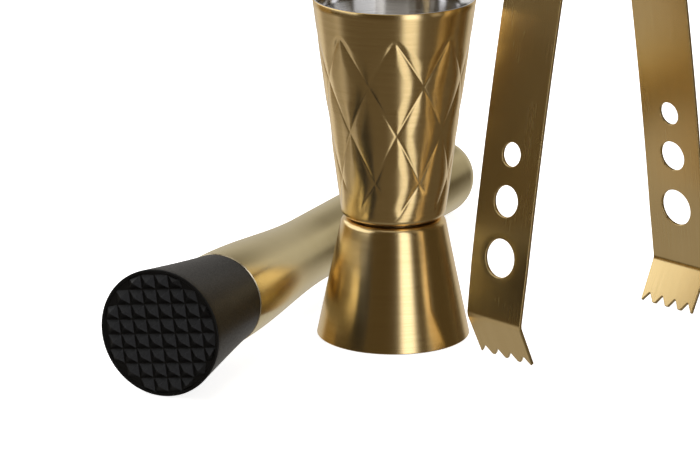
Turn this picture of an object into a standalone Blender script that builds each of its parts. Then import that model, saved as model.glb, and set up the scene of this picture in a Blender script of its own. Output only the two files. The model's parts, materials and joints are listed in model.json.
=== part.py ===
"""A cocktail tool set in brushed brass-coloured steel: a double jigger standing on its small cup, a muddler
lying beside it with a studded black head, and a pair of ice tongs standing on their claws.

Blender 4.5, metres, +Z up. The surface that the tools stand on is z = 0. X runs along the spread of the
tongs' arms, and the origin is at the middle of the set's footprint.
"""

from math import asin, atan, atan2, cos, hypot, pi, radians, sin, sqrt, tan

import bmesh
import bpy
from mathutils import Matrix, Vector

MM = 0.001
GAP = 0.3 * MM  # between pieces that touch on the bench

# Where each tool stands, from the middle of the set's footprint
JIGGER_AT = Vector((-7.64, -19.07, 0.0)) * MM
TONGS_AT = Vector((30.36, -57.27, 0.0)) * MM
MUDDLER_AT = Vector((-89.84, -15.77, 0.0)) * MM  # below the middle of the head's face
MUDDLER_YAW = radians(22.2)  # of the muddler's axis, from +X towards +Y

# Jigger: two cups joined base to base
SHEET = 0.8 * MM  # wall of both cups
JIGGER_HEIGHT = 94.1 * MM
LARGE_RIM_R = 22.1 * MM
LARGE_BASE_Z = 33.6 * MM
LARGE_BASE_R = 14.12 * MM  # where the wall's line meets the base
LARGE_FILLET = 2.1 * MM
SMALL_RIM_R = 21.0 * MM
SMALL_TOP_Z = 33.1 * MM
SMALL_TOP_R = 14.1 * MM
SMALL_FILLET = 1.8 * MM
DISC_R = 10.5 * MM
DISC_THICKNESS = 0.2 * MM

# Diamond relief pressed into the large cup's wall
DIAMONDS_ROUND = 8
ROW_STEP = 13.5 * MM  # height from one row of crossings to the next
RELIEF_TOP_Z = 86.8 * MM
RELIEF_ROWS = 4  # rows of crossings below the top points, the last one cut off by the base
RELIEF_DEPTH = 0.55 * MM
RELIEF_PHASE = radians(-44.1)  # direction of one column of top points, from -Y towards +X
RELIEF_TWIST = radians(4.0)  # how far the columns drift round from top to bottom
COLUMNS_PER_DIAMOND = 6
LINES_PER_ROW = 3

# Muddler: s is the distance from the head's face along the axis
HEAD_LENGTH = 34.9 * MM
FACE_R = 17.05 * MM
FACE_EDGE = 0.6 * MM
HEAD_BACK_R = 12.65 * MM
SPIGOT_R = 8.9 * MM
SPIGOT_END = 50.0 * MM
CORE_R = 6.3 * MM  # the moulding is cored out from the spigot's end
CORE_FLOOR = 10.0 * MM
STUD_PITCH = 3.95 * MM
STUD_BASE = 3.05 * MM
STUD_HEIGHT = 1.25 * MM
STUD_SUNK = 0.4 * MM
STUD_ROLL = radians(-8.0)
STUD_REACH = 16.1 * MM  # furthest stud's middle from the axis
STUD_FIELD_R = 16.2 * MM  # the outer studs are cut off round here
STUD_OFFSET = (0.5 * MM, 0.1 * MM)

TUBE_WALL = 0.8 * MM
MOUTH_R = 12.7 * MM
WAIST_R = 9.5 * MM
BULB_R = 11.6 * MM
MOUTH_AT = HEAD_LENGTH + GAP
WAIST_FROM = 95.0 * MM
WAIST_TO = 124.0 * MM
SEAM_AT = 186.0 * MM
BULB_AT = 188.6 * MM  # centre of the domed end

COLLAR_FROM = 37.9 * MM
COLLAR_TO = 51.0 * MM
COLLAR_OUTER_R = 10.9 * MM
COLLAR_INNER_R = 9.3 * MM
SEAL_R = 10.15 * MM
SEAL_SECTION_R = 0.85 * MM
SEAL_AT = 36.55 * MM
SEAL_SIDES = 8

# Ice tongs: one bent strip, with a bow at the top and a toothed claw at each end
STRIP_WIDTH = 20.0 * MM
TIP_WIDTH = 18.7 * MM
STRIP_THICKNESS = 1.0 * MM
TAPER_FROM_Z = 26.0 * MM
TIP_U = 32.5 * MM  # from the middle plane to the teeth
KNEE_U = 38.0 * MM  # where the arm's line meets the claw's
KNEE_Z = 11.5 * MM
KNEE_RADIUS = 3.2 * MM
ARM_SLOPE = 0.124  # inward lean at the knee
ARM_CURVE = 0.394  # extra lean per metre of height, the arms' gentle bow
BOW_START_Z = 142.0 * MM
BOW_CUT = radians(54.0)  # where the strip bends most, from the horizontal
TEETH = 5
TOOTH_DEPTH = 2.9 * MM
TOOTH_FLAT = 0.25 * MM  # half the flat left on a tooth between two notches
HOLES = ((28.5 * MM, 5.2 * MM), (43.8 * MM, 4.25 * MM), (56.3 * MM, 3.25 * MM))  # height and radius

TURN_STEPS = 40
HOLE_CUTTER_LENGTH = 12 * MM
NOTCH_CUTTER_LENGTH = 8 * MM
NOTCH_CUTTER_BELOW = 2 * MM  # how far a notch's cutter reaches past the teeth


def start_scene():
    """Empties the scene and returns the collections for the parts and for the cutters."""
    for found in list(bpy.data.objects):
        bpy.data.objects.remove(found)
    parts = bpy.data.collections.new("cocktail_tool_set")
    cutters = bpy.data.collections.new("cutters")
    cutters.hide_render = True
    for collection in (parts, cutters):
        bpy.context.scene.collection.children.link(collection)
    return parts, cutters


PARTS, CUTTERS = start_scene()


def material(name, colour, roughness, metallic):
    made = bpy.data.materials.new(name)
    made.use_nodes = True
    shader = made.node_tree.nodes["Principled BSDF"]
    shader.inputs["Base Color"].default_value = (*colour, 1.0)
    shader.inputs["Roughness"].default_value = roughness
    shader.inputs["Metallic"].default_value = metallic
    return made


BRASS = material("brushed_brass", (0.66, 0.48, 0.22), 0.3, 1.0)
STEEL = material("plain_steel", (0.62, 0.61, 0.59), 0.28, 1.0)
NYLON = material("black_nylon", (0.02, 0.02, 0.021), 0.5, 0.0)
RUBBER = material("seal_rubber", (0.03, 0.03, 0.03), 0.7, 0.0)


def empty(name, matrix):
    made = bpy.data.objects.new(name, None)
    PARTS.objects.link(made)
    made.matrix_world = matrix
    return made


def add_object(name, data, collection=PARTS, parent=None, finish=None):
    made = bpy.data.objects.new(name, data)
    collection.objects.link(made)
    made.parent = parent
    if finish:
        data.materials.append(finish)
    if collection is CUTTERS:
        made.hide_render = True
        made.display_type = "WIRE"
    return made


def as_mesh(made):
    """Replaces an object by its evaluated mesh, so that it can be cut or have its points moved."""
    bpy.context.view_layer.update()
    graph = bpy.context.evaluated_depsgraph_get()
    mesh = bpy.data.meshes.new_from_object(made.evaluated_get(graph))
    name, parent, matrix = made.name, made.parent, made.matrix_world.copy()
    collection = made.users_collection[0]
    bpy.data.objects.remove(made)
    mesh.name = name
    replaced = add_object(name, mesh, collection, parent)
    replaced.matrix_world = matrix
    return replaced


def shade_round(made):
    made.data.shade_smooth()
    made.data.set_sharp_from_angle(angle=radians(35))


def turned(name, profile, finish=None, parent=None, closed=False, steps=TURN_STEPS, collection=PARTS):
    """Turns a profile of (radius, height) points round local Z. It runs down the outer side."""
    mesh = bpy.data.meshes.new(name)
    points = [(radius, 0.0, height) for radius, height in profile]
    edges = [(i, i + 1) for i in range(len(points) - 1)]
    if closed:
        edges.append((len(points) - 1, 0))
    mesh.from_pydata(points, edges, [])
    made = add_object(name, mesh, collection, parent, finish)
    screw = made.modifiers.new("turn", "SCREW")
    screw.steps = screw.render_steps = steps
    screw.use_merge_vertices = True
    screw.merge_threshold = 0.00001
    made = as_mesh(made)
    if finish:
        shade_round(made)
    return made


def fillet(corner, before, after, radius, count=4):
    """Points of an arc that rounds a profile's corner between the points before and after it."""
    corner, before, after = Vector(corner), Vector(before), Vector(after)
    one, two = (before - corner).normalized(), (after - corner).normalized()
    half = one.angle(two) / 2
    centre = corner + (one + two).normalized() * radius / sin(half)
    start = corner + one * radius / tan(half) - centre
    end = corner + two * radius / tan(half) - centre
    turn = start.angle(end)
    arc = []
    for i in range(count + 1):
        share = i / count
        point = (start * sin((1 - share) * turn) + end * sin(share * turn)) / sin(turn)
        arc.append(tuple(centre + point))
    return arc


def cup_profile(rim_r, rim_z, base_r, base_z, radius, lines):
    """A cup's closed section, from the axis inside, over the rim and back to the axis outside.

    lines are heights between the rim and the base where the outer wall needs points of its own.
    """
    up = 1 if rim_z > base_z else -1
    slope = (rim_r - base_r) / (rim_z - base_z)
    inner_z = base_z + up * SHEET
    inner_base_r = base_r + slope * (inner_z - base_z) - SHEET
    inner = [(0.0, inner_z)]
    inner += fillet((inner_base_r, inner_z), (0.0, inner_z), (rim_r - SHEET, rim_z), radius - SHEET)
    inner.append((rim_r - SHEET, rim_z))
    outer = [(rim_r, rim_z)]
    outer += [(base_r + slope * (z - base_z), z) for z in lines]
    outer += fillet((base_r, base_z), (rim_r, rim_z), (0.0, base_z), radius)
    outer.append((0.0, base_z))
    return inner + outer


def relief_depth(phi, z):
    """How far the large cup's wall is pressed in, at a direction and a height.

    The creases are two families of helical lines. Between them each diamond swells back to the wall's
    own surface, and above the top row the wall stays plain.
    """
    rows = (RELIEF_TOP_Z - z) / ROW_STEP
    if rows <= 0:
        return 0.0
    turn = (phi - RELIEF_PHASE) * DIAMONDS_ROUND / (2 * pi)
    left, right = turn + rows / 2, turn - rows / 2
    swell = 1.0
    for line in (left, right):
        share = line - round(line)
        swell *= 1 - (1 - 2 * abs(share)) ** 3
    above_the_diamonds = rows < 1 and abs(turn - round(turn)) > rows / 2
    if above_the_diamonds:
        swell = 1 - (1 - swell) * rows
    fade = min(1.0, (z - (LARGE_BASE_Z + LARGE_FILLET)) / LARGE_FILLET)
    return RELIEF_DEPTH * (1 - swell) * max(0.0, fade)


def press_diamonds(cup):
    """Moves the outer wall's points inward by the relief, and drifts them round by the twist."""
    relief_height = RELIEF_ROWS * ROW_STEP
    for vertex in cup.data.vertices:
        point = vertex.co
        radius = hypot(point.x, point.y)
        slope = (LARGE_RIM_R - LARGE_BASE_R) / (JIGGER_HEIGHT - LARGE_BASE_Z)
        wall_r = LARGE_BASE_R + slope * (point.z - LARGE_BASE_Z)
        if abs(radius - wall_r) > SHEET / 4 or point.z < LARGE_BASE_Z + LARGE_FILLET:
            continue
        phi = atan2(point.x, -point.y)
        pressed = radius - relief_depth(phi, point.z)
        phi += RELIEF_TWIST * min(1.0, max(0.0, (RELIEF_TOP_Z - point.z) / relief_height))
        point.x, point.y = pressed * sin(phi), -pressed * cos(phi)


def make_jigger():
    place = empty("jigger_place", Matrix.Translation(JIGGER_AT))
    step = ROW_STEP / LINES_PER_ROW
    count = int((RELIEF_TOP_Z - LARGE_BASE_Z - LARGE_FILLET) / step)
    lines = [RELIEF_TOP_Z - i * step for i in range(count + 1)]
    cup = turned(
        "jigger_large_cup",
        cup_profile(LARGE_RIM_R, JIGGER_HEIGHT, LARGE_BASE_R, LARGE_BASE_Z, LARGE_FILLET, lines),
        BRASS,
        place,
        steps=DIAMONDS_ROUND * COLUMNS_PER_DIAMOND,
    )
    cup.data.transform(Matrix.Rotation(RELIEF_PHASE, 4, "Z"))
    press_diamonds(cup)
    upside_down = [
        (radius, -z)
        for radius, z in cup_profile(SMALL_RIM_R, 0.0, SMALL_TOP_R, SMALL_TOP_Z, SMALL_FILLET, [])
    ]
    small = turned("jigger_small_cup", upside_down, BRASS, place)
    small.data.transform(Matrix.Rotation(pi, 4, "X"))
    middle = (SMALL_TOP_Z + LARGE_BASE_Z) / 2
    bottom, top = middle - DISC_THICKNESS / 2, middle + DISC_THICKNESS / 2
    turned("jigger_joint_disc", [(0, top), (DISC_R, top), (DISC_R, bottom), (0, bottom)], STEEL, place)


def tube_radius(s):
    """Outer radius of the muddler's handle at a distance from the head's face."""
    if s < WAIST_FROM:
        share = (s - MOUTH_AT) / (WAIST_FROM - MOUTH_AT)
        return WAIST_R + (MOUTH_R - WAIST_R) * (1 + cos(pi * share)) / 2
    if s < WAIST_TO:
        return WAIST_R
    if s < BULB_AT:
        share = (s - WAIST_TO) / (BULB_AT - WAIST_TO)
        return WAIST_R + (BULB_R - WAIST_R) * (1 - cos(pi * share)) / 2
    return sqrt(max(0.0, BULB_R**2 - (s - BULB_AT) ** 2))


def spread(first, last, count):
    return [first + (last - first) * i / count for i in range(count + 1)]


def half_dome(radius):
    """The muddler's round end, from its widest ring to the axis."""
    angles = spread(0, pi / 2, 6)
    ring = [(radius * cos(angle), BULB_AT + radius * sin(angle)) for angle in angles[:-1]]
    return ring + [(0.0, BULB_AT + radius)]


def muddler_matrix():
    """Lays local Z along the muddler's axis, so that the face's rim and the domed end both rest on z = 0."""
    reach = hypot(BULB_AT - FACE_EDGE, FACE_R)
    tilt = atan2(FACE_R, BULB_AT - FACE_EDGE) - asin(BULB_R / reach)
    height = BULB_R + BULB_AT * sin(tilt)
    axis = Vector((cos(MUDDLER_YAW) * cos(tilt), sin(MUDDLER_YAW) * cos(tilt), -sin(tilt)))
    side = Vector((sin(MUDDLER_YAW), -cos(MUDDLER_YAW), 0.0))
    turn = Matrix((side, axis.cross(side), axis)).transposed().to_4x4()
    return Matrix.Translation(MUDDLER_AT + Vector((0, 0, height))) @ turn


def make_studs():
    """The square pyramids on the head's face, one mesh, sunk a little into the face for the union."""
    reach = int(FACE_R / STUD_PITCH) + 1
    made = []
    for row in range(-reach, reach + 1):
        for column in range(-reach, reach + 1):
            x = (column + 0.5) * STUD_PITCH + STUD_OFFSET[0]
            y = (row + 0.5) * STUD_PITCH + STUD_OFFSET[1]
            if hypot(x, y) > STUD_REACH:
                continue
            height = STUD_HEIGHT + STUD_SUNK
            base_r = STUD_BASE / sqrt(2) * height / STUD_HEIGHT
            bpy.ops.mesh.primitive_cone_add(
                vertices=4,
                radius1=base_r,
                radius2=0,
                depth=height,
                location=(x, y, STUD_SUNK - height / 2),
                rotation=(pi, 0, pi / 4),
            )
            made.append(bpy.context.object)
    for stud in made:
        stud.select_set(True)
    bpy.context.view_layer.objects.active = made[0]
    bpy.ops.object.join()
    studs = bpy.context.object
    studs.name = "stud_cutter"
    for collection in list(studs.users_collection):
        collection.objects.unlink(studs)
    CUTTERS.objects.link(studs)
    studs.hide_render = True
    studs.display_type = "WIRE"
    bpy.ops.object.transform_apply(location=True, rotation=True, scale=True)
    studs.data.transform(Matrix.Rotation(STUD_ROLL, 4, "Z"))
    for vertex in studs.data.vertices:
        outside = hypot(vertex.co.x, vertex.co.y) / STUD_FIELD_R
        if outside > 1:
            vertex.co.x /= outside
            vertex.co.y /= outside
    return studs


def make_head(place):
    profile = [
        (0.0, CORE_FLOOR),
        (CORE_R, CORE_FLOOR),
        (CORE_R, SPIGOT_END),
        (SPIGOT_R - FACE_EDGE, SPIGOT_END),
        (SPIGOT_R, SPIGOT_END - FACE_EDGE),
        (SPIGOT_R, HEAD_LENGTH),
        (HEAD_BACK_R, HEAD_LENGTH),
    ]
    profile += fillet((FACE_R, 0.0), (HEAD_BACK_R, HEAD_LENGTH), (0.0, 0.0), FACE_EDGE, 3)
    profile.append((0.0, 0.0))
    head = turned("muddler_head", profile, NYLON, place)
    studs = make_studs()
    studs.matrix_world = place.matrix_world
    union = head.modifiers.new("studs", "BOOLEAN")
    union.operation = "UNION"
    union.object = studs
    return head


def make_muddler():
    place = empty("muddler_place", muddler_matrix())
    make_head(place)
    outer = [(tube_radius(s), s) for s in spread(MOUTH_AT, SEAM_AT - GAP / 2, 16)]
    inner = [(radius - TUBE_WALL, s) for radius, s in outer]
    turned("muddler_handle", inner + outer[::-1], BRASS, place, closed=True)

    start = SEAM_AT + GAP / 2
    dome = [(tube_radius(start), start)] + half_dome(BULB_R)
    hollow = [(tube_radius(start) - TUBE_WALL, start)] + half_dome(BULB_R - TUBE_WALL)
    turned("muddler_end_cap", dome[::-1] + hollow, BRASS, place)

    collar = [
        (COLLAR_INNER_R, COLLAR_FROM),
        (COLLAR_INNER_R, COLLAR_TO),
        (COLLAR_OUTER_R, COLLAR_TO),
        (COLLAR_OUTER_R, COLLAR_FROM),
    ]
    turned("muddler_collar", collar, STEEL, place, closed=True)
    ring = [
        (SEAL_R + SEAL_SECTION_R * cos(angle), SEAL_AT - SEAL_SECTION_R * sin(angle))
        for angle in spread(0, 2 * pi, SEAL_SIDES)[:-1]
    ]
    turned("muddler_seal", ring, RUBBER, place, closed=True)


def arm_point(z):
    """Distance of the arm's centreline from the middle plane at a height above the knee."""
    rise = z - KNEE_Z
    return KNEE_U - ARM_SLOPE * rise - ARM_CURVE * rise**2


def bow_circle():
    """Radius of the bow and height of its centre, so that it runs smoothly on from the arms."""
    slope = atan(ARM_SLOPE + 2 * ARM_CURVE * (BOW_START_Z - KNEE_Z))
    radius = arm_point(BOW_START_Z) / cos(slope)
    return radius, BOW_START_Z - radius * sin(slope), slope


def bow_point(angle):
    radius, centre_z, _ = bow_circle()
    return radius * cos(angle), centre_z + radius * sin(angle)


def strip(name, path, finish, parent):
    """A strip of sheet along a path of (x, z) points: a curve drawn out to its width, then thickened."""
    curve = bpy.data.curves.new(name, "CURVE")
    curve.dimensions = "3D"
    curve.extrude = STRIP_WIDTH / 2
    spline = curve.splines.new("POLY")
    spline.points.add(len(path) - 1)
    for point, (x, z) in zip(spline.points, path):
        point.co = (x, z, 0.0, 1.0)
    drawn = add_object(name, curve, PARTS)
    made = as_mesh(drawn)
    made.data.transform(Matrix.Rotation(radians(90), 4, "X"))
    made.parent = parent
    made.data.materials.append(finish)
    return made


def arm_path():
    """From the cut at the bow down to the teeth, on the +X side."""
    _, _, slope = bow_circle()
    gap_angle = GAP / 2 / bow_circle()[0]
    path = [bow_point(angle) for angle in spread(BOW_CUT - gap_angle, slope, 5)]
    path += [(arm_point(z), z) for z in spread(BOW_START_Z, KNEE_Z + KNEE_RADIUS, 14)[1:]]
    knee = (KNEE_U, KNEE_Z)
    path += fillet(knee, path[-1], (TIP_U, 0.0), KNEE_RADIUS, 4)[1:]
    path.append((TIP_U, 0.0))
    return path


def taper_claw(made):
    """Narrows the strip evenly from above the largest hole to the teeth."""
    for vertex in made.data.vertices:
        share = min(1.0, max(0.0, 1 - vertex.co.z / TAPER_FROM_Z))
        vertex.co.y *= 1 + (TIP_WIDTH / STRIP_WIDTH - 1) * share


def notch_cutter(name, points, matrix):
    """A prism of a triangular outline, for one notch between two teeth."""
    curve = bpy.data.curves.new(name, "CURVE")
    curve.dimensions = "2D"
    curve.fill_mode = "BOTH"
    curve.extrude = NOTCH_CUTTER_LENGTH / 2
    spline = curve.splines.new("POLY")
    spline.use_cyclic_u = True
    spline.points.add(len(points) - 1)
    for point, (x, y) in zip(spline.points, points):
        point.co = (x, y, 0.0, 1.0)
    made = as_mesh(add_object(name, curve, CUTTERS))
    mesh = bmesh.new()
    mesh.from_mesh(made.data)
    bmesh.ops.remove_doubles(mesh, verts=mesh.verts, dist=0.000001)
    bmesh.ops.recalc_face_normals(mesh, faces=mesh.faces)
    mesh.to_mesh(made.data)
    mesh.free()
    made.matrix_world = matrix
    return made


def cut(made, cutter):
    boolean = made.modifiers.new("cut", "BOOLEAN")
    boolean.operation = "DIFFERENCE"
    boolean.object = cutter


def make_arm(name, side, place):
    arm = strip(name, arm_path(), BRASS, place)
    taper_claw(arm)
    if side < 0:
        arm.data.transform(Matrix.Rotation(pi, 4, "Z"))
    solid = arm.modifiers.new("sheet", "SOLIDIFY")
    solid.thickness = STRIP_THICKNESS
    solid.offset = 0.0
    for number, (z, radius) in enumerate(HOLES):
        lean = atan(ARM_SLOPE + 2 * ARM_CURVE * (z - KNEE_Z))
        bpy.ops.mesh.primitive_cylinder_add(vertices=32, radius=radius, depth=HOLE_CUTTER_LENGTH)
        cutter = bpy.context.object
        cutter.name = f"{name}_hole_cutter_{number}"
        turn = Matrix.Rotation(side * (pi / 2 - lean), 4, "Y")
        cutter.matrix_world = place.matrix_world @ Matrix.Translation((side * arm_point(z), 0, z)) @ turn
        for collection in list(cutter.users_collection):
            collection.objects.unlink(cutter)
        CUTTERS.objects.link(cutter)
        cutter.hide_render = True
        cutter.display_type = "WIRE"
        cut(arm, cutter)
    pitch = TIP_WIDTH / (TEETH - 1)
    claw_lean = atan2(KNEE_U - TIP_U, KNEE_Z)
    for number in range(TEETH - 1):
        middle = (number - (TEETH - 2) / 2) * pitch
        half = (pitch / 2 - TOOTH_FLAT) * (1 + NOTCH_CUTTER_BELOW / TOOTH_DEPTH)
        outline = [(-half, -NOTCH_CUTTER_BELOW), (half, -NOTCH_CUTTER_BELOW), (0.0, TOOTH_DEPTH)]
        turn = Matrix.Rotation(side * claw_lean, 4, "Y") @ Matrix.Rotation(pi / 2, 4, "Z")
        stand = turn @ Matrix.Rotation(pi / 2, 4, "X")
        matrix = place.matrix_world @ Matrix.Translation((side * TIP_U, middle, 0)) @ stand
        cut(arm, notch_cutter(f"{name}_notch_cutter_{number}", outline, matrix))
    return arm


def make_tongs():
    lift = STRIP_THICKNESS / 2 * sin(atan2(KNEE_U - TIP_U, KNEE_Z))  # the leaning tips' lower corners
    place = empty("tongs_place", Matrix.Translation(TONGS_AT + Vector((0, 0, lift))))
    gap_angle = GAP / 2 / bow_circle()[0]
    path = [bow_point(a) for a in spread(BOW_CUT + gap_angle, pi - BOW_CUT - gap_angle, 10)]
    bow = strip("tongs_bow", path, BRASS, place)
    solid = bow.modifiers.new("sheet", "SOLIDIFY")
    solid.thickness = STRIP_THICKNESS
    solid.offset = 0.0
    make_arm("tongs_front_arm", -1, place)
    make_arm("tongs_rear_arm", 1, place)


make_jigger()
make_muddler()
make_tongs()
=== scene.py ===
"""Looks of the cocktail tool set: brushed brass-coloured jigger, muddler and ice tongs.

The cups, the muddler's handle and head, and the tongs are fine meshes that take the place of their plain
CAD solids; the small turned parts keep their plain meshes. Metres, +Z up.
"""

import json
from math import atan, atan2, cos, hypot, pi, radians, sin, sqrt, tan

import bmesh
import bpy
from mathutils import Matrix, Vector


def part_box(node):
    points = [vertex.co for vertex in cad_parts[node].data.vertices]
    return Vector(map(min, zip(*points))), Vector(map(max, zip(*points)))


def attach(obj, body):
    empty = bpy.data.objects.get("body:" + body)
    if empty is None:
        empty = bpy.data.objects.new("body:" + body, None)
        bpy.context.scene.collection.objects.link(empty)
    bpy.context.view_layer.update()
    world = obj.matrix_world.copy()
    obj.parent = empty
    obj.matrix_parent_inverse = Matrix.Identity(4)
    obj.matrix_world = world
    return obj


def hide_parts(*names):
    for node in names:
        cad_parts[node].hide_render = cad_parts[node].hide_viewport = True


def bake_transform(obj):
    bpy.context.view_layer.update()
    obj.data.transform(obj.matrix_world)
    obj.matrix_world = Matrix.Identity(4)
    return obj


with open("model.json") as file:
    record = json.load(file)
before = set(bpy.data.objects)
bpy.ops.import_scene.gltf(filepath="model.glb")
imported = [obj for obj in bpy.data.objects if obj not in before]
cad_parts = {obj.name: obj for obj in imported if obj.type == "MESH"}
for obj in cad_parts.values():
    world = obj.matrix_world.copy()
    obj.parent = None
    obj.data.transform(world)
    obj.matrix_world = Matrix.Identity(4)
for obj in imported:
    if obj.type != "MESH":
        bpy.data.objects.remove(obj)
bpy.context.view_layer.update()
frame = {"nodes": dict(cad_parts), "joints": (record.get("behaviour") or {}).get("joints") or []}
MM = 0.001

# Camera: the turn of its view round the set, how far it looks down, and its lens
LOOK_AT = Vector((-16.15, -10.81, 28.0)) * MM
VIEW_TURN = radians(-44.14)
VIEW_TILT = radians(16.253)
VIEW_DISTANCE = 976.85 * MM
SENSOR = 36.0
LENS = 183.9

# Jigger
SHEET = 0.8 * MM
LARGE_RIM_R = 22.1 * MM
LARGE_BASE_R = 14.12 * MM
LARGE_FILLET = 2.1 * MM
SMALL_RIM_R = 21.0 * MM
SMALL_TOP_R = 14.1 * MM
SMALL_FILLET = 1.8 * MM
RIM_ROUND = 0.22 * MM
SMALL_CUP_COLUMNS = 192

# Diamond relief pressed into the large cup: heights of the crossings, from the top points down
CROSSING_Z = [z * MM for z in (86.6, 73.4, 59.8, 46.0, 36.2)]
COLUMNS = 8
CELLS = 32  # mesh cells between one crossing and the next, across and down
LAST_CELLS = 24  # the same for the last, shorter row
RELIEF_PHASE = radians(-44.1)
RELIEF_TWIST = radians(4.0)
PILLOW_DEPTH = 0.29 * MM  # how far the diamonds' swelling sides sink towards a crease
PILLOW_REACH = 3.6 * MM
PILLOW_POWER = 1.7
CREASE_DEPTH = 0.06 * MM  # a thin sharp line along the bottom of each crease
CREASE_REACH = 0.6 * MM
LEFT_FADES_FROM = 3.05  # where each family of creases runs out, in rows from the top points
RIGHT_FADES_FROM = 3.7
FADE_OVER = 0.35
BEGIN_OVER = 0.12

# Muddler: s is the distance from the head's face along the axis
HEAD_LENGTH = 34.9 * MM
FACE_R = 17.05 * MM
FACE_EDGE = 0.3 * MM
FACE_FIELD_R = 16.2 * MM  # the studs stand in a shallow round field
FACE_FIELD_DEPTH = 0.25 * MM
FACE_FIELD_SLOPE = 0.15 * MM
HEAD_LIP = 0.35 * MM
HEAD_FLARE = 1.1  # over 1 makes the head's side slightly hollow
HEAD_BACK_R = 12.65 * MM
SPIGOT_R = 8.9 * MM
SPIGOT_END = 50.0 * MM
CORE_R = 6.3 * MM
CORE_FLOOR = 10.0 * MM
STUD_PITCH = 3.95 * MM
STUD_BASE = 3.05 * MM
STUD_HEIGHT = 1.25 * MM
STUD_SUNK = 0.25 * MM
STUD_TIP_R = 0.09 * MM
STUD_ROLL = radians(-8.0)
STUD_REACH = 16.1 * MM  # furthest stud's middle, and where the outer studs are cut off
STUD_OFFSET = (0.5 * MM, 0.1 * MM)
TUBE_WALL = 0.8 * MM
MOUTH_R = 12.7 * MM
WAIST_R = 9.5 * MM
BULB_R = 11.6 * MM
MOUTH_AT = 35.2 * MM
WAIST_FROM = 95.0 * MM
WAIST_TO = 124.0 * MM
BULB_AT = 188.6 * MM
SEAL_AT = 36.5 * MM  # where the head's screw joint is measured from
MUDDLER_COLUMNS = 144

# Ice tongs
STRIP_WIDTH = 20.0 * MM
TIP_WIDTH = 18.7 * MM
STRIP_THICKNESS = 1.0 * MM
TAPER_FROM_Z = 26.0 * MM
TIP_U = 32.5 * MM
KNEE_U = 38.0 * MM
KNEE_Z = 11.5 * MM
KNEE_RADIUS = 3.2 * MM
ARM_SLOPE = 0.124
ARM_CURVE = 0.394
BOW_START_Z = 142.0 * MM
TEETH = 5
TOOTH_DEPTH = 2.7 * MM
TOOTH_FLAT = 0.35 * MM
TOOTH_ROUND = 0.12 * MM
TOOTH_CORNER = 0.25 * MM
NOTCH_RADIUS = 0.25 * MM
HOLES = ((28.5 * MM, 5.2 * MM), (43.8 * MM, 4.25 * MM), (56.3 * MM, 3.25 * MM))
DIMPLE_DEPTH = 0.1 * MM  # the front arm is drawn in a little round its largest hole
DIMPLE_REACH = 2.2 * MM
DIMPLE_CUTS_X = 8.0 * MM  # how far from the hole's middle the mesh is cut finer, along and across
DIMPLE_CUTS_Y = 8.5 * MM
EDGE_ROUND = 0.18 * MM
BOW_OVERLAP = 1.0 * MM  # cut off again, so that the two halves meet square


def centre_of(node):
    low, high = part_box(node)
    return (Vector(low) + Vector(high)) / 2


JIGGER_CENTRE = centre_of("jigger_small_cup")
JIGGER_CENTRE.z = 0.0
RIM_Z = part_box("jigger_large_cup")[1][2]
LARGE_BASE_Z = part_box("jigger_large_cup")[0][2]
SMALL_TOP_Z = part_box("jigger_small_cup")[1][2]
TONGS_CENTRE = centre_of("tongs_bow")
TONGS_CENTRE.z = STRIP_THICKNESS / 2 * sin(atan2(KNEE_U - TIP_U, KNEE_Z))  # the leaning tips' lower corners
TONGS_PLACE = Matrix.Translation(TONGS_CENTRE)


# ---------------------------------------------------------------- node helpers


class Nodes:
    """Short ways to add and join shader nodes in one tree."""

    def __init__(self, tree):
        self.tree = tree

    def add(self, kind, **settings):
        node = self.tree.nodes.new(kind)
        for name, value in settings.items():
            setattr(node, name, value)
        return node

    def put(self, socket, value):
        if isinstance(value, bpy.types.NodeSocket):
            self.tree.links.new(value, socket)
        else:
            socket.default_value = value

    def maths(self, operation, first, second=0.0, third=0.0):
        node = self.add("ShaderNodeMath", operation=operation)
        for socket, value in zip(node.inputs, (first, second, third)):
            self.put(socket, value)
        return node.outputs[0]

    def ramp(self, value, low, high, out_low=0.0, out_high=1.0):
        node = self.add("ShaderNodeMapRange", interpolation_type="SMOOTHSTEP")
        for socket, given in zip(node.inputs, (value, low, high, out_low, out_high)):
            self.put(socket, given)
        return node.outputs[0]

    def mix(self, share, one, two):
        node = self.add("ShaderNodeMix", data_type="RGBA")
        self.put(node.inputs[0], share)
        self.put(node.inputs[6], one)
        self.put(node.inputs[7], two)
        return node.outputs[2]

    def noise(self, vector, scale, detail=2.0, roughness=0.5):
        node = self.add("ShaderNodeTexNoise")
        self.put(node.inputs["Vector"], vector)
        node.inputs["Scale"].default_value = scale
        node.inputs["Detail"].default_value = detail
        node.inputs["Roughness"].default_value = roughness
        return node.outputs["Fac"]

    def stretched(self, vector, factors):
        node = self.add("ShaderNodeVectorMath", operation="MULTIPLY")
        self.put(node.inputs[0], vector)
        node.inputs[1].default_value = factors
        return node.outputs[0]

    def bump(self, height, strength, distance):
        node = self.add("ShaderNodeBump")
        self.put(node.inputs["Height"], height)
        node.inputs["Strength"].default_value = strength
        node.inputs["Distance"].default_value = distance
        return node.outputs["Normal"]


def new_material(name):
    made = bpy.data.materials.new(name)
    made.use_nodes = True
    nodes = Nodes(made.node_tree)
    return made, nodes, made.node_tree.nodes["Principled BSDF"]


# ---------------------------------------------------------------- materials


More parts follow.
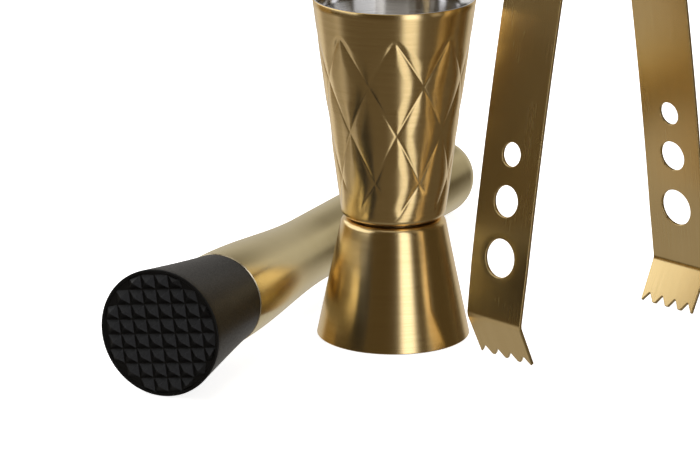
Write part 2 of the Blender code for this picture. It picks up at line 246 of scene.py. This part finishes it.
def brushed_metal(name, colour, deep, roughness, along, brush=1.0):
    """Brushed metal, with its lines along V or, if along is false, along U.

    UVs are in metres over the surface, so the brush lines keep their real size.
    """
    made, nodes, shader = new_material(name)
    uv = nodes.add("ShaderNodeUVMap", uv_map="surface").outputs["UV"]
    lines = (3400.0, 45.0, 1.0) if along else (45.0, 3400.0, 1.0)
    broad = (800.0, 16.0, 1.0) if along else (16.0, 800.0, 1.0)
    fine = nodes.noise(nodes.stretched(uv, lines), 1.0, 3.0, 0.65)
    wide = nodes.noise(nodes.stretched(uv, broad), 1.0, 2.0, 0.5)
    cloud = nodes.noise(nodes.stretched(uv, (55.0, 55.0, 1.0)), 1.0, 3.0, 0.55)
    share = nodes.ramp(nodes.maths("ADD", fine, nodes.maths("MULTIPLY", wide, 0.25)), 0.4, 0.85)
    tone = nodes.mix(share, (*deep, 1.0), (*colour, 1.0))
    nodes.put(shader.inputs["Base Color"], tone)
    shader.inputs["Metallic"].default_value = 1.0
    shader.inputs["Anisotropic"].default_value = 0.55
    base = nodes.ramp(cloud, 0.3, 0.7, roughness * 0.96, roughness * 1.05)
    rough = nodes.maths("ADD", base, nodes.maths("MULTIPLY", nodes.maths("SUBTRACT", fine, 0.5), 0.1))
    nodes.put(shader.inputs["Roughness"], rough)
    tangent = nodes.add("ShaderNodeTangent", direction_type="UV_MAP", uv_map="surface")
    nodes.put(shader.inputs["Tangent"], tangent.outputs[0])
    shader.inputs["Anisotropic Rotation"].default_value = 0.0 if along else 0.25
    nodes.put(shader.inputs["Normal"], nodes.bump(fine, 0.035 * brush, 0.00003))
    return made


def plain_steel():
    """Fine-ground steel for the small turned parts that keep their plain meshes."""
    made, nodes, shader = new_material("plain_steel")
    place = nodes.add("ShaderNodeTexCoord").outputs["Object"]
    grain = nodes.noise(nodes.stretched(place, (900.0, 900.0, 2600.0)), 1.0, 3.0, 0.6)
    tone = nodes.mix(grain, (0.5, 0.49, 0.48, 1.0), (0.68, 0.67, 0.66, 1.0))
    nodes.put(shader.inputs["Base Color"], tone)
    shader.inputs["Metallic"].default_value = 1.0
    nodes.put(shader.inputs["Roughness"], nodes.ramp(grain, 0.3, 0.7, 0.24, 0.4))
    nodes.put(shader.inputs["Normal"], nodes.bump(grain, 0.1, 0.00003))
    return made


def nylon():
    """Matte black moulding with a fine spark-eroded texture."""
    made, nodes, shader = new_material("moulded_nylon")
    place = nodes.add("ShaderNodeTexCoord").outputs["Object"]
    grain = nodes.noise(place, 2600.0, 3.0, 0.6)
    cloud = nodes.noise(place, 90.0, 3.0, 0.5)
    tone = nodes.mix(cloud, (0.005, 0.0051, 0.0053, 1.0), (0.0085, 0.0086, 0.0088, 1.0))
    nodes.put(shader.inputs["Base Color"], tone)
    nodes.put(shader.inputs["Roughness"], nodes.ramp(grain, 0.3, 0.7, 0.38, 0.52))
    shader.inputs["Specular IOR Level"].default_value = 0.3
    nodes.put(shader.inputs["Normal"], nodes.bump(grain, 0.25, 0.00005))
    return made


def rubber():
    """Soft black rubber for the seal ring."""
    made, nodes, shader = new_material("soft_rubber")
    place = nodes.add("ShaderNodeTexCoord").outputs["Object"]
    grain = nodes.noise(place, 1500.0, 2.0)
    tone = nodes.mix(grain, (0.018, 0.018, 0.018, 1.0), (0.035, 0.035, 0.036, 1.0))
    nodes.put(shader.inputs["Base Color"], tone)
    nodes.put(shader.inputs["Roughness"], nodes.ramp(grain, 0.3, 0.7, 0.6, 0.8))
    nodes.put(shader.inputs["Normal"], nodes.bump(grain, 0.2, 0.00005))
    return made


TURNED_COLOUR = (0.85, 0.645, 0.33)
TURNED_DEEP = (0.77, 0.565, 0.265)
HANDLE_COLOUR = (0.80, 0.69, 0.40)
HANDLE_DEEP = (0.75, 0.64, 0.35)
BRASS_TURNED = brushed_metal("brass_turned", TURNED_COLOUR, TURNED_DEEP, 0.235, along=False)
BRASS_STRIP = brushed_metal("brass_strip", (0.82, 0.625, 0.31), (0.75, 0.55, 0.25), 0.25, along=True)
BRASS_HANDLE = brushed_metal("brass_handle", HANDLE_COLOUR, HANDLE_DEEP, 0.24, along=False, brush=0.4)
STEEL_TURNED = brushed_metal("steel_turned", (0.74, 0.73, 0.72), (0.6, 0.59, 0.58), 0.13, along=False)
PLAIN_STEEL = plain_steel()
BARE_EDGE = brushed_metal("bare_edge", (0.75, 0.66, 0.48), (0.5, 0.42, 0.28), 0.22, along=True)
NYLON = nylon()
RUBBER = rubber()


# ---------------------------------------------------------------- mesh helpers


def spread(first, last, count):
    return [first + (last - first) * i / count for i in range(count + 1)]


def fillet(corner, before, after, radius, count=8):
    """Points of an arc that rounds a profile's corner between the points before and after it."""
    corner, before, after = Vector(corner), Vector(before), Vector(after)
    one, two = (before - corner).normalized(), (after - corner).normalized()
    half = one.angle(two) / 2
    centre = corner + (one + two).normalized() * radius / sin(half)
    start = corner + one * radius / tan(half) - centre
    end = corner + two * radius / tan(half) - centre
    turn = start.angle(end)
    arc = []
    for i in range(count + 1):
        share = i / count
        point = (start * sin((1 - share) * turn) + end * sin(share * turn)) / sin(turn)
        arc.append(tuple(centre + point))
    return arc


def finish_mesh(name, mesh, materials, matrix, sharp=35):
    """Makes an object of a bmesh, in its place. Without sharp, its own sharp edges are kept."""
    data = bpy.data.meshes.new(name)
    bmesh.ops.recalc_face_normals(mesh, faces=mesh.faces)
    mesh.to_mesh(data)
    mesh.free()
    for finish in materials:
        data.materials.append(finish)
    data.shade_smooth()
    if sharp:
        data.set_sharp_from_angle(angle=radians(sharp))
    data.transform(matrix)
    made = bpy.data.objects.new(name, data)
    bpy.context.scene.collection.objects.link(made)
    return made


def turned(name, profile, materials, matrix, columns, slots=None, shape=None, sharp=35):
    """Turns (radius, height) points round local Z. UVs run round the axis and along the profile.

    slots gives the material index of each stretch between two points, and shape(phi, radius, height)
    may move a point.
    """
    mesh = bmesh.new()
    uv = mesh.loops.layers.uv.new("surface")
    widest = max(radius for radius, _ in profile)
    travelled = [0.0]
    for (r0, z0), (r1, z1) in zip(profile, profile[1:]):
        travelled.append(travelled[-1] + hypot(r1 - r0, z1 - z0))
    rings = []
    for radius, height in profile:
        if radius < 1e-7:
            rings.append([mesh.verts.new((0.0, 0.0, height))])
            continue
        ring = []
        for column in range(columns):
            phi = 2 * pi * column / columns
            place = shape(phi, radius, height) if shape else (phi, radius, height)
            ring.append(mesh.verts.new((place[1] * sin(place[0]), -place[1] * cos(place[0]), place[2])))
        rings.append(ring)
    for index, (one, two) in enumerate(zip(rings, rings[1:])):
        for column in range(columns):
            after = (column + 1) % columns
            corners = [(one, column, 0), (one, after, 0), (two, after, 1), (two, column, 1)]
            if len(one) == 1:
                corners = corners[1:]
            elif len(two) == 1:
                corners = corners[:3]
            face = mesh.faces.new([ring[at % len(ring)] for ring, at, _ in corners])
            face.material_index = slots[index] if slots else 0
            for loop, (_, at, down) in zip(face.loops, corners):
                across = column + 1 if at == after else column
                loop[uv].uv = (2 * pi * widest * across / columns, travelled[index + down])
    return finish_mesh(name, mesh, materials, matrix, sharp)


def give(node, finish):
    """Gives a CAD node that stays in view its finish."""
    for slot in frame["nodes"][node].material_slots:
        slot.material = finish


# ---------------------------------------------------------------- jigger


def cup_profile(rim_r, rim_z, base_r, base_z, radius, heights):
    """A cup's section from the axis inside, over a rounded rim, down the outside and back to the axis."""
    up = 1 if rim_z > base_z else -1
    slope = (rim_r - base_r) / (rim_z - base_z)
    floor_z = base_z + up * SHEET
    floor_r = base_r + slope * (floor_z - base_z) - SHEET
    top = rim_z - up * RIM_ROUND
    inner = [(0.0, floor_z), (floor_r * 0.5, floor_z)]
    inner += fillet((floor_r, floor_z), (0.0, floor_z), (rim_r - SHEET, rim_z), radius - SHEET)
    inner += [(floor_r + slope * (z - floor_z), z) for z in spread(floor_z + up * 3 * MM, top, 12)]
    inner_count = len(inner)
    rim = [(rim_r - SHEET + RIM_ROUND, rim_z), (rim_r - RIM_ROUND, rim_z)]
    outer = [(base_r + slope * (z - base_z), z) for z in [top] + heights]
    outer += fillet((base_r, base_z), (rim_r, rim_z), (0.0, base_z), radius)
    outer += [(base_r * 0.5, base_z), (0.0, base_z)]
    slots = [1] * (inner_count + 1) + [0] * len(outer)
    return inner + rim + outer, slots


def clamp(value):
    return min(1.0, max(0.0, value))


def lattice_level(z):
    """How many crossings down a height is, from 0 at the top points. The rows differ a little in height."""
    for level, (upper, lower) in enumerate(zip(CROSSING_Z, CROSSING_Z[1:])):
        if z >= lower:
            return level + (upper - z) / (upper - lower)
    return len(CROSSING_Z) - 1 + (CROSSING_Z[-1] - z) / (CROSSING_Z[-2] - CROSSING_Z[-1])


def relief(phi, radius, z):
    """Presses one point of the large cup's outer wall in, and drifts the columns round."""
    slope = (LARGE_RIM_R - LARGE_BASE_R) / (RIM_Z - LARGE_BASE_Z)
    on_wall = abs(radius - LARGE_BASE_R - slope * (z - LARGE_BASE_Z)) < SHEET / 4
    if not on_wall or z < LARGE_BASE_Z + LARGE_FILLET:
        return phi, radius, z
    level = lattice_level(z)
    turn = phi * COLUMNS / (2 * pi)
    width = 2 * pi * radius / COLUMNS
    row = CROSSING_Z[1] - CROSSING_Z[2]
    across = width * row / hypot(width / 2, row)  # distance between neighbouring parallel grooves
    left, right = turn - level / 2, turn + level / 2
    raised = 1.0
    crease = 0.0
    for line, fades_from in ((left, LEFT_FADES_FROM), (right, RIGHT_FADES_FROM)):
        away = abs(line - round(line)) * across
        shown = clamp(level / BEGIN_OVER) * (1 - clamp((level - fades_from) / FADE_OVER))
        reach = PILLOW_REACH * (0.3 + 0.7 * clamp(2 * level))  # narrower near the top points
        raised *= 1 - shown * clamp(1 - away / reach) ** PILLOW_POWER
        crease = max(crease, shown * clamp(1 - away / CREASE_REACH))
    pressed = radius - PILLOW_DEPTH * (1 - raised) - CREASE_DEPTH * crease
    drift = RELIEF_TWIST * clamp(level / (len(CROSSING_Z) - 1))
    return phi + drift, pressed, z


def make_large_cup():
    heights = [RIM_Z - 2 * MM, RIM_Z - 4 * MM, CROSSING_Z[0] + 0.4 * MM]
    for upper, lower in zip(CROSSING_Z, CROSSING_Z[1:]):
        cells = LAST_CELLS if lower == CROSSING_Z[-1] else CELLS
        heights += spread(upper, lower, cells)[:-1]
    profile, slots = cup_profile(LARGE_RIM_R, RIM_Z, LARGE_BASE_R, LARGE_BASE_Z, LARGE_FILLET, heights)
    matrix = Matrix.Translation(JIGGER_CENTRE) @ Matrix.Rotation(RELIEF_PHASE, 4, "Z")
    cup = turned(
        "large_cup_fine",
        profile,
        [BRASS_TURNED, STEEL_TURNED],
        matrix,
        COLUMNS * 2 * CELLS,
        slots,
        relief,
        sharp=60,
    )
    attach(cup, "jigger")
    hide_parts("jigger_large_cup")


def make_small_cup():
    heights = spread(0.8 * MM, SMALL_TOP_Z - 2 * SMALL_FILLET, 12)
    profile, slots = cup_profile(SMALL_RIM_R, 0.0, SMALL_TOP_R, SMALL_TOP_Z, SMALL_FILLET, heights)
    matrix = Matrix.Translation(JIGGER_CENTRE)
    cup = turned("small_cup_fine", profile, [BRASS_TURNED, STEEL_TURNED], matrix, SMALL_CUP_COLUMNS, slots)
    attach(cup, "jigger")
    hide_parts("jigger_small_cup")


# ---------------------------------------------------------------- muddler


def muddler_matrix():
    """Local Z runs from the head's face along the muddler, and local X lies level."""
    joint = next(j for j in frame["joints"] if j["name"] == "head_turn")
    axis = -Vector(joint["axis"]).normalized()
    face = Vector(joint["pos_m"]) - axis * SEAL_AT
    side = Vector((axis.y, -axis.x, 0.0)).normalized()
    turn = Matrix((side, axis.cross(side), axis)).transposed().to_4x4()
    return Matrix.Translation(face) @ turn


def tube_radius(s):
    """Outer radius of the muddler's handle at a distance from the head's face."""
    if s < WAIST_FROM:
        share = (s - MOUTH_AT) / (WAIST_FROM - MOUTH_AT)
        return WAIST_R + (MOUTH_R - WAIST_R) * (1 + cos(pi * share)) / 2
    if s < WAIST_TO:
        return WAIST_R
    if s < BULB_AT:
        share = (s - WAIST_TO) / (BULB_AT - WAIST_TO)
        return WAIST_R + (BULB_R - WAIST_R) * (1 - cos(pi * share)) / 2
    return sqrt(max(0.0, BULB_R**2 - (s - BULB_AT) ** 2))


def make_handle(matrix):
    """The tube and its domed end, welded and polished into one, with a bare rounded edge at the mouth."""
    lengths = spread(MOUTH_AT + RIM_ROUND, BULB_AT, 150)
    outer = [(tube_radius(s), s) for s in lengths]
    angles = spread(0, pi / 2, 20)[1:-1]
    outer += [(BULB_R * cos(a), BULB_AT + BULB_R * sin(a)) for a in angles] + [(0.0, BULB_AT + BULB_R)]
    hollow = BULB_R - TUBE_WALL
    inner = [(0.0, BULB_AT + hollow)]
    inner += [(hollow * cos(a), BULB_AT + hollow * sin(a)) for a in reversed(angles)]
    inner += [(tube_radius(s) - TUBE_WALL, s) for s in spread(BULB_AT, MOUTH_AT + RIM_ROUND, 40)]
    rim = [(MOUTH_R - TUBE_WALL + RIM_ROUND, MOUTH_AT), (MOUTH_R - RIM_ROUND, MOUTH_AT)]
    slots = [1] * (len(inner) + 1) + [2] + [0] * (len(outer) - 1)
    materials = [BRASS_HANDLE, STEEL_TURNED, BARE_EDGE]
    handle = turned("handle_fine", inner + rim + outer, materials, matrix, MUDDLER_COLUMNS, slots)
    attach(handle, "muddler")
    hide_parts("muddler_handle", "muddler_end_cap")


def add_studs(mesh):
    """Square pyramids in a grid on the face, each with a slightly blunted tip, as one closed body each."""
    reach = int(FACE_R / STUD_PITCH) + 1
    depth = STUD_HEIGHT + STUD_SUNK
    roll = Matrix.Rotation(STUD_ROLL, 4, "Z")
    upright = Matrix.Rotation(pi, 4, "X") @ Matrix.Rotation(pi / 4, 4, "Z")
    for row in range(-reach, reach + 1):
        for column in range(-reach, reach + 1):
            x = (column + 0.5) * STUD_PITCH + STUD_OFFSET[0]
            y = (row + 0.5) * STUD_PITCH + STUD_OFFSET[1]
            if hypot(x, y) > STUD_REACH:
                continue
            bmesh.ops.create_cone(
                mesh,
                cap_ends=True,
                segments=4,
                radius1=STUD_BASE / sqrt(2) * depth / STUD_HEIGHT,
                radius2=STUD_TIP_R,
                depth=depth,
                matrix=roll @ Matrix.Translation((x, y, (STUD_SUNK - STUD_HEIGHT) / 2)) @ upright,
            )
    for vertex in mesh.verts:
        outside = hypot(vertex.co.x, vertex.co.y) / STUD_REACH
        if outside > 1:
            vertex.co.x /= outside
            vertex.co.y /= outside


def make_head(matrix):
    """The head with its cored-out spigot, and the studs as a piece of their own."""
    profile = [
        (0.0, CORE_FLOOR),
        (CORE_R, CORE_FLOOR),
        (CORE_R, SPIGOT_END),
        (SPIGOT_R - HEAD_LIP, SPIGOT_END),
        (SPIGOT_R, SPIGOT_END - HEAD_LIP),
        (SPIGOT_R, HEAD_LENGTH),
        (HEAD_BACK_R - HEAD_LIP, HEAD_LENGTH),
        (HEAD_BACK_R, HEAD_LENGTH - HEAD_LIP),
    ]
    for share in spread(0.08, 0.92, 10):
        radius = HEAD_BACK_R + (FACE_R - HEAD_BACK_R) * share**HEAD_FLARE
        profile.append((radius, (HEAD_LENGTH - HEAD_LIP) * (1 - share)))
    profile += fillet((FACE_R, 0.0), (HEAD_BACK_R, HEAD_LENGTH), (0.0, 0.0), FACE_EDGE, 6)
    profile += [
        (FACE_FIELD_R, 0.0),
        (FACE_FIELD_R - FACE_FIELD_SLOPE, FACE_FIELD_DEPTH),
        (0.0, FACE_FIELD_DEPTH),
    ]
    head = turned("head_fine", profile, [NYLON], matrix, MUDDLER_COLUMNS)
    studs = bmesh.new()
    add_studs(studs)
    stud_piece = finish_mesh("head_studs", studs, [NYLON], matrix, sharp=20)
    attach(head, "muddler_end")
    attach(stud_piece, "muddler_end")
    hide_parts("muddler_head")


# ---------------------------------------------------------------- ice tongs


def arm_point(z):
    rise = z - KNEE_Z
    return KNEE_U - ARM_SLOPE * rise - ARM_CURVE * rise**2


def arm_path():
    """The strip's middle line from the top of the bow down to the teeth, as (u, z) points."""
    slope = atan(ARM_SLOPE + 2 * ARM_CURVE * (BOW_START_Z - KNEE_Z))
    radius = arm_point(BOW_START_Z) / cos(slope)
    centre_z = BOW_START_Z - radius * sin(slope)
    path = [(radius * cos(a), centre_z + radius * sin(a)) for a in spread(pi / 2, slope, 48)]
    path += [(arm_point(z), z) for z in spread(BOW_START_Z, KNEE_Z + KNEE_RADIUS, 60)[1:]]
    path += fillet((KNEE_U, KNEE_Z), path[-1], (TIP_U, 0.0), KNEE_RADIUS, 10)
    path.append((TIP_U, 0.0))
    return path


class Path:
    """Gives the place and outward normal at a length along a path."""

    def __init__(self, points):
        self.points = [Vector(p) for p in points]
        self.at = [0.0]
        for one, two in zip(self.points, self.points[1:]):
            self.at.append(self.at[-1] + (two - one).length)
        self.length = self.at[-1]

    def sample(self, length):
        index = 0
        while index < len(self.at) - 2 and self.at[index + 1] < length:
            index += 1
        share = (length - self.at[index]) / (self.at[index + 1] - self.at[index])
        one, two = self.points[index], self.points[index + 1]
        place = one.lerp(two, share)
        before = self.points[max(index - 1, 0)]
        after = self.points[min(index + 2, len(self.points) - 1)]
        here = (two - one).normalized()
        tangent = ((one - before).normalized() + here).lerp(here + (after - two).normalized(), share)
        if tangent.length < 1e-9:
            tangent = here
        tangent.normalize()
        return place, Vector((-tangent.y, tangent.x))

    def length_at_height(self, z):
        for index in range(len(self.points) - 1):
            one, two = self.points[index], self.points[index + 1]
            if one.y >= z >= two.y and one.y > two.y:
                return self.at[index] + (one.y - z) / (one.y - two.y) * (two - one).length
        return self.length


def outline(curve, points):
    spline = curve.splines.new("POLY")
    spline.use_cyclic_u = True
    spline.points.add(len(points) - 1)
    for point, (x, y) in zip(spline.points, points):
        point.co = (x, y, 0.0, 1.0)


def tooth_outline(length):
    """The strip's end: rounded teeth and rounded notches, from one edge to the other."""
    pitch = TIP_WIDTH / (TEETH - 1)
    half = TIP_WIDTH / 2
    points = [(length - TOOTH_CORNER, -half), (length, -half + TOOTH_FLAT)]
    for number in range(TEETH - 1):
        left = -half + number * pitch
        right = left + pitch
        notch = (length - TOOTH_DEPTH, left + pitch / 2)
        points += fillet(notch, (length, left + TOOTH_FLAT), (length, right - TOOTH_FLAT), NOTCH_RADIUS, 4)
        if number < TEETH - 2:
            shoulder = length - TOOTH_ROUND
            points.append((shoulder, right - 1.6 * TOOTH_FLAT))
            points.append((length, right))
            points.append((shoulder, right + 1.6 * TOOTH_FLAT))
    points += [(length, half - TOOTH_FLAT), (length - TOOTH_CORNER, half)]
    return points


def flat_strip(path):
    """The strip before it is bent: x along it, y across it, as a mesh with rounded edges and holes."""
    curve = bpy.data.curves.new("flat_strip", "CURVE")
    curve.dimensions = "2D"
    curve.fill_mode = "BOTH"
    curve.bevel_mode = "ROUND"
    curve.bevel_depth = EDGE_ROUND
    curve.bevel_resolution = 2
    curve.extrude = STRIP_THICKNESS / 2 - EDGE_ROUND
    curve.offset = -EDGE_ROUND
    half = STRIP_WIDTH / 2
    taper_from = path.length_at_height(TAPER_FROM_Z)
    shape = [(-BOW_OVERLAP, half), (-BOW_OVERLAP, -half), (taper_from, -half)]
    shape += tooth_outline(path.length)
    shape += [(taper_from, half)]
    outline(curve, shape)
    for z, radius in HOLES:
        middle = path.length_at_height(z)
        outline(curve, [(middle + radius * cos(a), radius * sin(a)) for a in spread(0, 2 * pi, 64)[:-1]])
    holder = bpy.data.objects.new("flat_strip", curve)
    bpy.context.scene.collection.objects.link(holder)
    bpy.context.view_layer.update()
    graph = bpy.context.evaluated_depsgraph_get()
    data = bpy.data.meshes.new_from_object(holder.evaluated_get(graph))
    bpy.data.objects.remove(holder)
    mesh = bmesh.new()
    mesh.from_mesh(data)
    bpy.data.meshes.remove(data)
    bmesh.ops.remove_doubles(mesh, verts=mesh.verts, dist=0.000002)
    trim_at_bow(mesh)
    return mesh


def trim_at_bow(mesh):
    """Cuts the strip square at the top of the bow, where the other half goes on, and closes it."""
    geometry = list(mesh.verts) + list(mesh.edges) + list(mesh.faces)
    cut = bmesh.ops.bisect_plane(
        mesh, geom=geometry, dist=1e-7, plane_co=(0, 0, 0), plane_no=(-1, 0, 0), clear_outer=True
    )
    rim = [found for found in cut["geom_cut"] if isinstance(found, bmesh.types.BMEdge)]
    bmesh.ops.contextual_create(mesh, geom=rim)


def bend(mesh, path, side, dimple):
    """Cuts the flat strip across at every point of the path and wraps it along the path.

    The line between a broad face and its rounded edge is kept crisp, so that broad faces shade flat.
    """
    dish_at = path.length_at_height(HOLES[0][0])
    dish_r = HOLES[0][1]
    cuts = [((length, 0, 0), (1, 0, 0)) for length in path.at[1:-1]]
    cuts += [((dish_at + away, 0, 0), (1, 0, 0)) for away in spread(-DIMPLE_CUTS_X, DIMPLE_CUTS_X, 20)]
    cuts += [((0, across, 0), (0, 1, 0)) for across in spread(-DIMPLE_CUTS_Y, DIMPLE_CUTS_Y, 17)]
    for point, direction in cuts:
        geometry = list(mesh.verts) + list(mesh.edges) + list(mesh.faces)
        bmesh.ops.bisect_plane(mesh, geom=geometry, dist=1e-7, plane_co=point, plane_no=direction)
    uv = mesh.loops.layers.uv.new("surface")
    for face in mesh.faces:
        for loop in face.loops:
            loop[uv].uv = (side * loop.vert.co.y, side * loop.vert.co.x)
    mesh.normal_update()
    for edge in mesh.edges:
        broad = [abs(face.normal.z) > 0.99 for face in edge.link_faces]
        at_bow = all(vertex.co.x < 1e-7 for vertex in edge.verts)
        edge.smooth = not at_bow and (all(broad) or not any(broad))
    for vertex in mesh.verts:
        length, across, out = vertex.co
        from_edge = max(0.0, hypot(length - dish_at, across) - dish_r)
        out -= dimple * clamp(1 - from_edge / DIMPLE_REACH) ** 2
        place, normal = path.sample(min(max(length, 0.0), path.length))
        place = place + normal * out
        vertex.co = (side * place.x, side * across, place.y)


def make_tongs_half(name, side):
    path = Path(arm_path())
    mesh = flat_strip(path)
    bend(mesh, path, side, DIMPLE_DEPTH if side < 0 else 0.0)
    half = finish_mesh(name, mesh, [BRASS_STRIP], TONGS_PLACE, sharp=None)
    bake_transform(half)
    return half


def make_tongs():
    front = make_tongs_half("tongs_front_fine", -1)
    rear = make_tongs_half("tongs_rear_fine", 1)
    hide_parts("tongs_front_arm", "tongs_bow")
    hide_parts("tongs_rear_arm")


# ---------------------------------------------------------------- studio


def make_camera():
    data = bpy.data.cameras.new("camera")
    data.sensor_width = SENSOR
    data.lens = LENS
    data.clip_start = 0.05
    data.clip_end = 50.0
    camera = bpy.data.objects.new("camera", data)
    bpy.context.scene.collection.objects.link(camera)
    turn = Matrix.Rotation(VIEW_TURN, 4, "Z") @ Matrix.Rotation(pi / 2 - VIEW_TILT, 4, "X")
    camera.matrix_world = Matrix.Translation(LOOK_AT) @ turn @ Matrix.Translation((0, 0, VIEW_DISTANCE))
    bpy.context.scene.camera = camera


# Soft boxes of the studio, as seen from the set. Azimuth in degrees from the front, to the right, and
# elevation above the horizon: azimuth, half width, elevation from, to, softness, strength, colour
SOFT_BOXES = (
    (23, 11, -12, 50, 9, 1.75, (1.0, 1.03, 1.12)),
    (24, 12, -45, -12, 9, 1.05, (1.0, 1.01, 1.03)),
    (60, 7, -4, 50, 6, 0.36, (1.0, 0.95, 0.88)),
    (-117, 18, -14, 12, 6, 0.2, (1.0, 0.64, 0.17)),
    (-88, 34, 11, 50, 4, 1.3, (1.0, 1.03, 1.08)),
    (-122, 34, -52, -18, 10, 0.27, (1.0, 0.99, 0.98)),
    (-92, 8, -40, -20, 8, 0.15, (1.0, 1.0, 1.1)),
    (-136, 16, 14, 70, 8, 1.1, (1.0, 1.0, 1.0)),
    (182, 45, -45, 26, 14, 0.5, (1.0, 0.98, 0.95)),
    (125, 16, 0, 30, 10, 0.26, (1.0, 0.97, 0.9)),
    (0, 181, 66, 95, 10, 0.7, (1.0, 0.99, 0.97)),
    (0, 181, -95, -52, 10, 0.16, (1.0, 1.05, 1.1)),
    (0, 181, -52, -12, 8, 0.05, (1.0, 0.93, 0.85)),
)
ROOM_COLOUR = (0.078, 0.058, 0.029)


def make_world():
    """A dim warm room with soft boxes, which only the reflections and the soft light show."""
    world = bpy.data.worlds.new("studio")
    bpy.context.scene.world = world
    world.use_nodes = True
    nodes = Nodes(world.node_tree)
    background = world.node_tree.nodes["Background"]
    direction = nodes.add("ShaderNodeTexCoord").outputs["Generated"]
    parts = nodes.add("ShaderNodeSeparateXYZ")
    nodes.put(parts.inputs[0], direction)
    x, y, z = parts.outputs
    front = pi / 2 + VIEW_TURN + pi
    azimuth = nodes.maths("SUBTRACT", nodes.maths("ARCTAN2", y, x), front)
    elevation = nodes.maths("ARCSINE", z)
    total = None
    for middle, half, low, high, soft, strength, colour in SOFT_BOXES:
        away = nodes.maths("WRAP", nodes.maths("SUBTRACT", azimuth, radians(middle)), pi, -pi)
        side = nodes.ramp(
            nodes.maths("ABSOLUTE", away), radians(half - soft / 2), radians(half + soft / 2), 1.0, 0.0
        )
        above = nodes.ramp(elevation, radians(low - soft / 2), radians(low + soft / 2))
        below = nodes.ramp(elevation, radians(high - soft / 2), radians(high + soft / 2), 1.0, 0.0)
        window = nodes.maths("MULTIPLY", side, nodes.maths("MULTIPLY", above, below))
        shown = nodes.add("ShaderNodeVectorMath", operation="SCALE")
        shown.inputs[0].default_value = [strength * c for c in colour]
        nodes.put(shown.inputs["Scale"], window)
        if total is None:
            total = shown.outputs[0]
        else:
            adder = nodes.add("ShaderNodeVectorMath", operation="ADD")
            nodes.put(adder.inputs[0], total)
            nodes.put(adder.inputs[1], shown.outputs[0])
            total = adder.outputs[0]
    adder = nodes.add("ShaderNodeVectorMath", operation="ADD")
    nodes.put(adder.inputs[0], total)
    adder.inputs[1].default_value = ROOM_COLOUR
    nodes.put(background.inputs["Color"], adder.outputs[0])
    background.inputs["Strength"].default_value = 1.0


def pale_material(name, colour, glow):
    made, nodes, shader = new_material(name)
    shader.inputs["Base Color"].default_value = (*colour, 1.0)
    shader.inputs["Roughness"].default_value = 0.9
    shader.inputs["Specular IOR Level"].default_value = 0.0
    shader.inputs["Emission Color"].default_value = (1.0, 1.0, 1.0, 1.0)
    shader.inputs["Emission Strength"].default_value = glow
    return made


def make_studio():
    """A pale floor and a white surround, and a broad light overhead that only the floor and nylon catch."""
    bpy.ops.mesh.primitive_circle_add(vertices=64, radius=3.0, fill_type="NGON", location=(0, 0, -0.0002))
    floor = bpy.context.object
    floor.name = "studio_floor"
    floor.data.materials.append(pale_material("pale_floor", (0.9, 0.9, 0.9), 0.85))
    floor.visible_glossy = False
    floor.visible_diffuse = False
    bpy.ops.mesh.primitive_uv_sphere_add(segments=48, ring_count=24, radius=3.2, location=(0, 0, 0))
    surround = bpy.context.object
    surround.name = "studio_surround"
    surround.data.materials.append(pale_material("white_surround", (1.0, 1.0, 1.0), 1.0))
    for seen_by in ("visible_diffuse", "visible_glossy", "visible_shadow", "visible_transmission"):
        setattr(surround, seen_by, False)
    overhead = bpy.data.lights.new("overhead", "AREA")
    overhead.shape = "DISK"
    overhead.size = 1.6
    overhead.energy = 16.0
    lamp = bpy.data.objects.new("overhead", overhead)
    bpy.context.scene.collection.objects.link(lamp)
    lamp.location = (0.5, 0.52, 1.35)
    lamp.rotation_euler = (Vector((0, 0, 0)) - lamp.location).to_track_quat("-Z", "Y").to_euler()
    lamp.visible_glossy = False
    lamp.visible_camera = False


bpy.context.scene.view_settings.view_transform = "Standard"
bpy.context.scene.view_settings.look = "None"
make_camera()
make_world()
make_studio()
make_large_cup()
make_small_cup()
muddler_place = muddler_matrix()
make_handle(muddler_place)
make_head(muddler_place)
make_tongs()
give("jigger_joint_disc", PLAIN_STEEL)
give("muddler_collar", PLAIN_STEEL)
give("muddler_seal", RUBBER)
